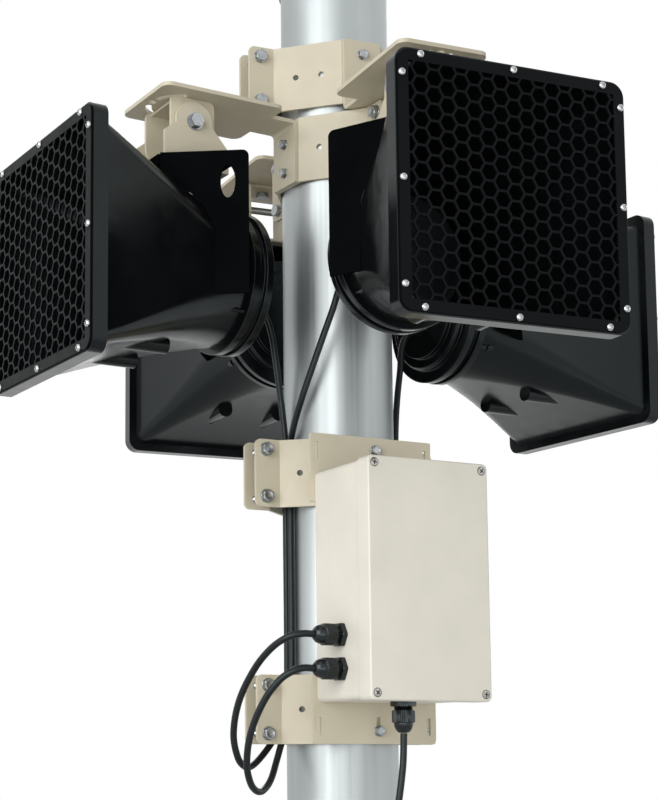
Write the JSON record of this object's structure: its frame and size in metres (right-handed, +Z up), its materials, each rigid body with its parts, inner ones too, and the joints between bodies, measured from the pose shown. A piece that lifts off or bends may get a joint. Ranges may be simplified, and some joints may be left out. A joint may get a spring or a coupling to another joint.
{
  "type": "pole-top horn loudspeaker array",
  "caption": "Pole section with square-mouthed horn loudspeakers on bolted clamps, arms and tilting yokes, above a junction box with cable glands.",
  "frame": {"origin": "centre of the pole's flat lower end", "axes": "+Z up along the pole; the front horn points along -Y, the back horn along +Y, the left horn near -X and the right horn near +X, both turned 7.3 degrees about +Z"},
  "size_m": [1.0508, 1.016, 1.514],
  "materials": {
    "bare_metal": "bare drawn metal tube with long soft reflections",
    "tan_paint": "satin tan powder coat",
    "horn_plastic": "glossy black moulding",
    "grille_paint": "satin black powder coat",
    "driver_plastic": "black moulding with raised rings",
    "zinc_steel": "zinc-plated bolts",
    "box_plastic": "satin light tan enclosure",
    "gland_plastic": "black nylon",
    "cable_jacket": "smooth black cable jacket",
    "grommet_rubber": "black rubber"
  },
  "bodies": {
    "mast": {"pole": "bare_metal", "pole_cap": "bare_metal", "pole_foot": "bare_metal", "cable_grommets": "grommet_rubber", "upper_clamp_front": "tan_paint", "upper_clamp_back": "tan_paint", "lower_clamp_left": "tan_paint", "lower_clamp_right": "tan_paint", "arm_front": "tan_paint", "arm_left": "tan_paint", "arm_back": "tan_paint", "arm_right": "tan_paint", "upper_box_clamp_front": "tan_paint", "upper_box_clamp_back": "tan_paint", "lower_box_clamp_front": "tan_paint", "lower_box_clamp_back": "tan_paint", "upper_box_plate": "tan_paint", "lower_box_plate": "tan_paint", "box_body": "box_plastic", "box_lid": "box_plastic", "box_glands": "gland_plastic", "cable_front": "cable_jacket", "cable_left": "cable_jacket", "cable_back": "cable_jacket", "cable_right": "cable_jacket", "cable_feed": "cable_jacket"},
    "front_yoke": {"yoke_front": "tan_paint", "yoke_bolts_front": "zinc_steel"},
    "front_horn": {"tilt_bracket_front": "tan_paint", "horn_front": "horn_plastic", "saddle_front": "horn_plastic", "grille_front": "grille_paint", "driver_front": "driver_plastic"},
    "left_yoke": {"yoke_left": "tan_paint", "yoke_bolts_left": "zinc_steel"},
    "left_horn": {"tilt_bracket_left": "tan_paint", "horn_left": "horn_plastic", "saddle_left": "horn_plastic", "grille_left": "grille_paint", "driver_left": "driver_plastic"},
    "back_yoke": {"yoke_back": "tan_paint", "yoke_bolts_back": "zinc_steel"},
    "back_horn": {"tilt_bracket_back": "tan_paint", "horn_back": "horn_plastic", "saddle_back": "horn_plastic", "grille_back": "grille_paint", "driver_back": "driver_plastic"},
    "right_yoke": {"yoke_right": "tan_paint", "yoke_bolts_right": "zinc_steel"},
    "right_horn": {"tilt_bracket_right": "tan_paint", "horn_right": "horn_plastic", "saddle_right": "horn_plastic", "grille_right": "grille_paint", "driver_right": "driver_plastic"}
  },
  "joints": [
    {"name": "front_pan", "type": "hinge", "parent": "mast", "child": "front_yoke", "pos_m": [0, -0.281, 1.194], "axis": [0, 0, 1], "range_deg": [-12, 12], "deforming": ["cable_front"]},
    {"name": "front_tilt", "type": "hinge", "parent": "front_yoke", "child": "front_horn", "pos_m": [0, -0.281, 1.194], "axis": [-1, 0, 0], "range_deg": [-15, 15], "deforming": ["cable_front"]},
    {"name": "left_pan", "type": "hinge", "parent": "mast", "child": "left_yoke", "pos_m": [-0.27872, -0.03571, 1.183], "axis": [0, 0, 1], "range_deg": [-12, 12], "deforming": ["cable_left"]},
    {"name": "left_tilt", "type": "hinge", "parent": "left_yoke", "child": "left_horn", "pos_m": [-0.27872, -0.03571, 1.183], "axis": [-0.1271, 0.9919, 0], "range_deg": [-15, 15], "deforming": ["cable_left"]},
    {"name": "back_pan", "type": "hinge", "parent": "mast", "child": "back_yoke", "pos_m": [0, 0.281, 1.194], "axis": [0, 0, 1], "range_deg": [-12, 12], "deforming": ["cable_back"]},
    {"name": "back_tilt", "type": "hinge", "parent": "back_yoke", "child": "back_horn", "pos_m": [0, 0.281, 1.194], "axis": [1, 0, 0], "range_deg": [-15, 15], "deforming": ["cable_back"]},
    {"name": "right_pan", "type": "hinge", "parent": "mast", "child": "right_yoke", "pos_m": [0.27872, 0.03571, 1.183], "axis": [0, 0, 1], "range_deg": [-12, 12], "deforming": ["cable_right"]},
    {"name": "right_tilt", "type": "hinge", "parent": "right_yoke", "child": "right_horn", "pos_m": [0.27872, 0.03571, 1.183], "axis": [0.1271, -0.9919, 0], "range_deg": [-15, 15], "deforming": ["cable_right"]}
  ]
}
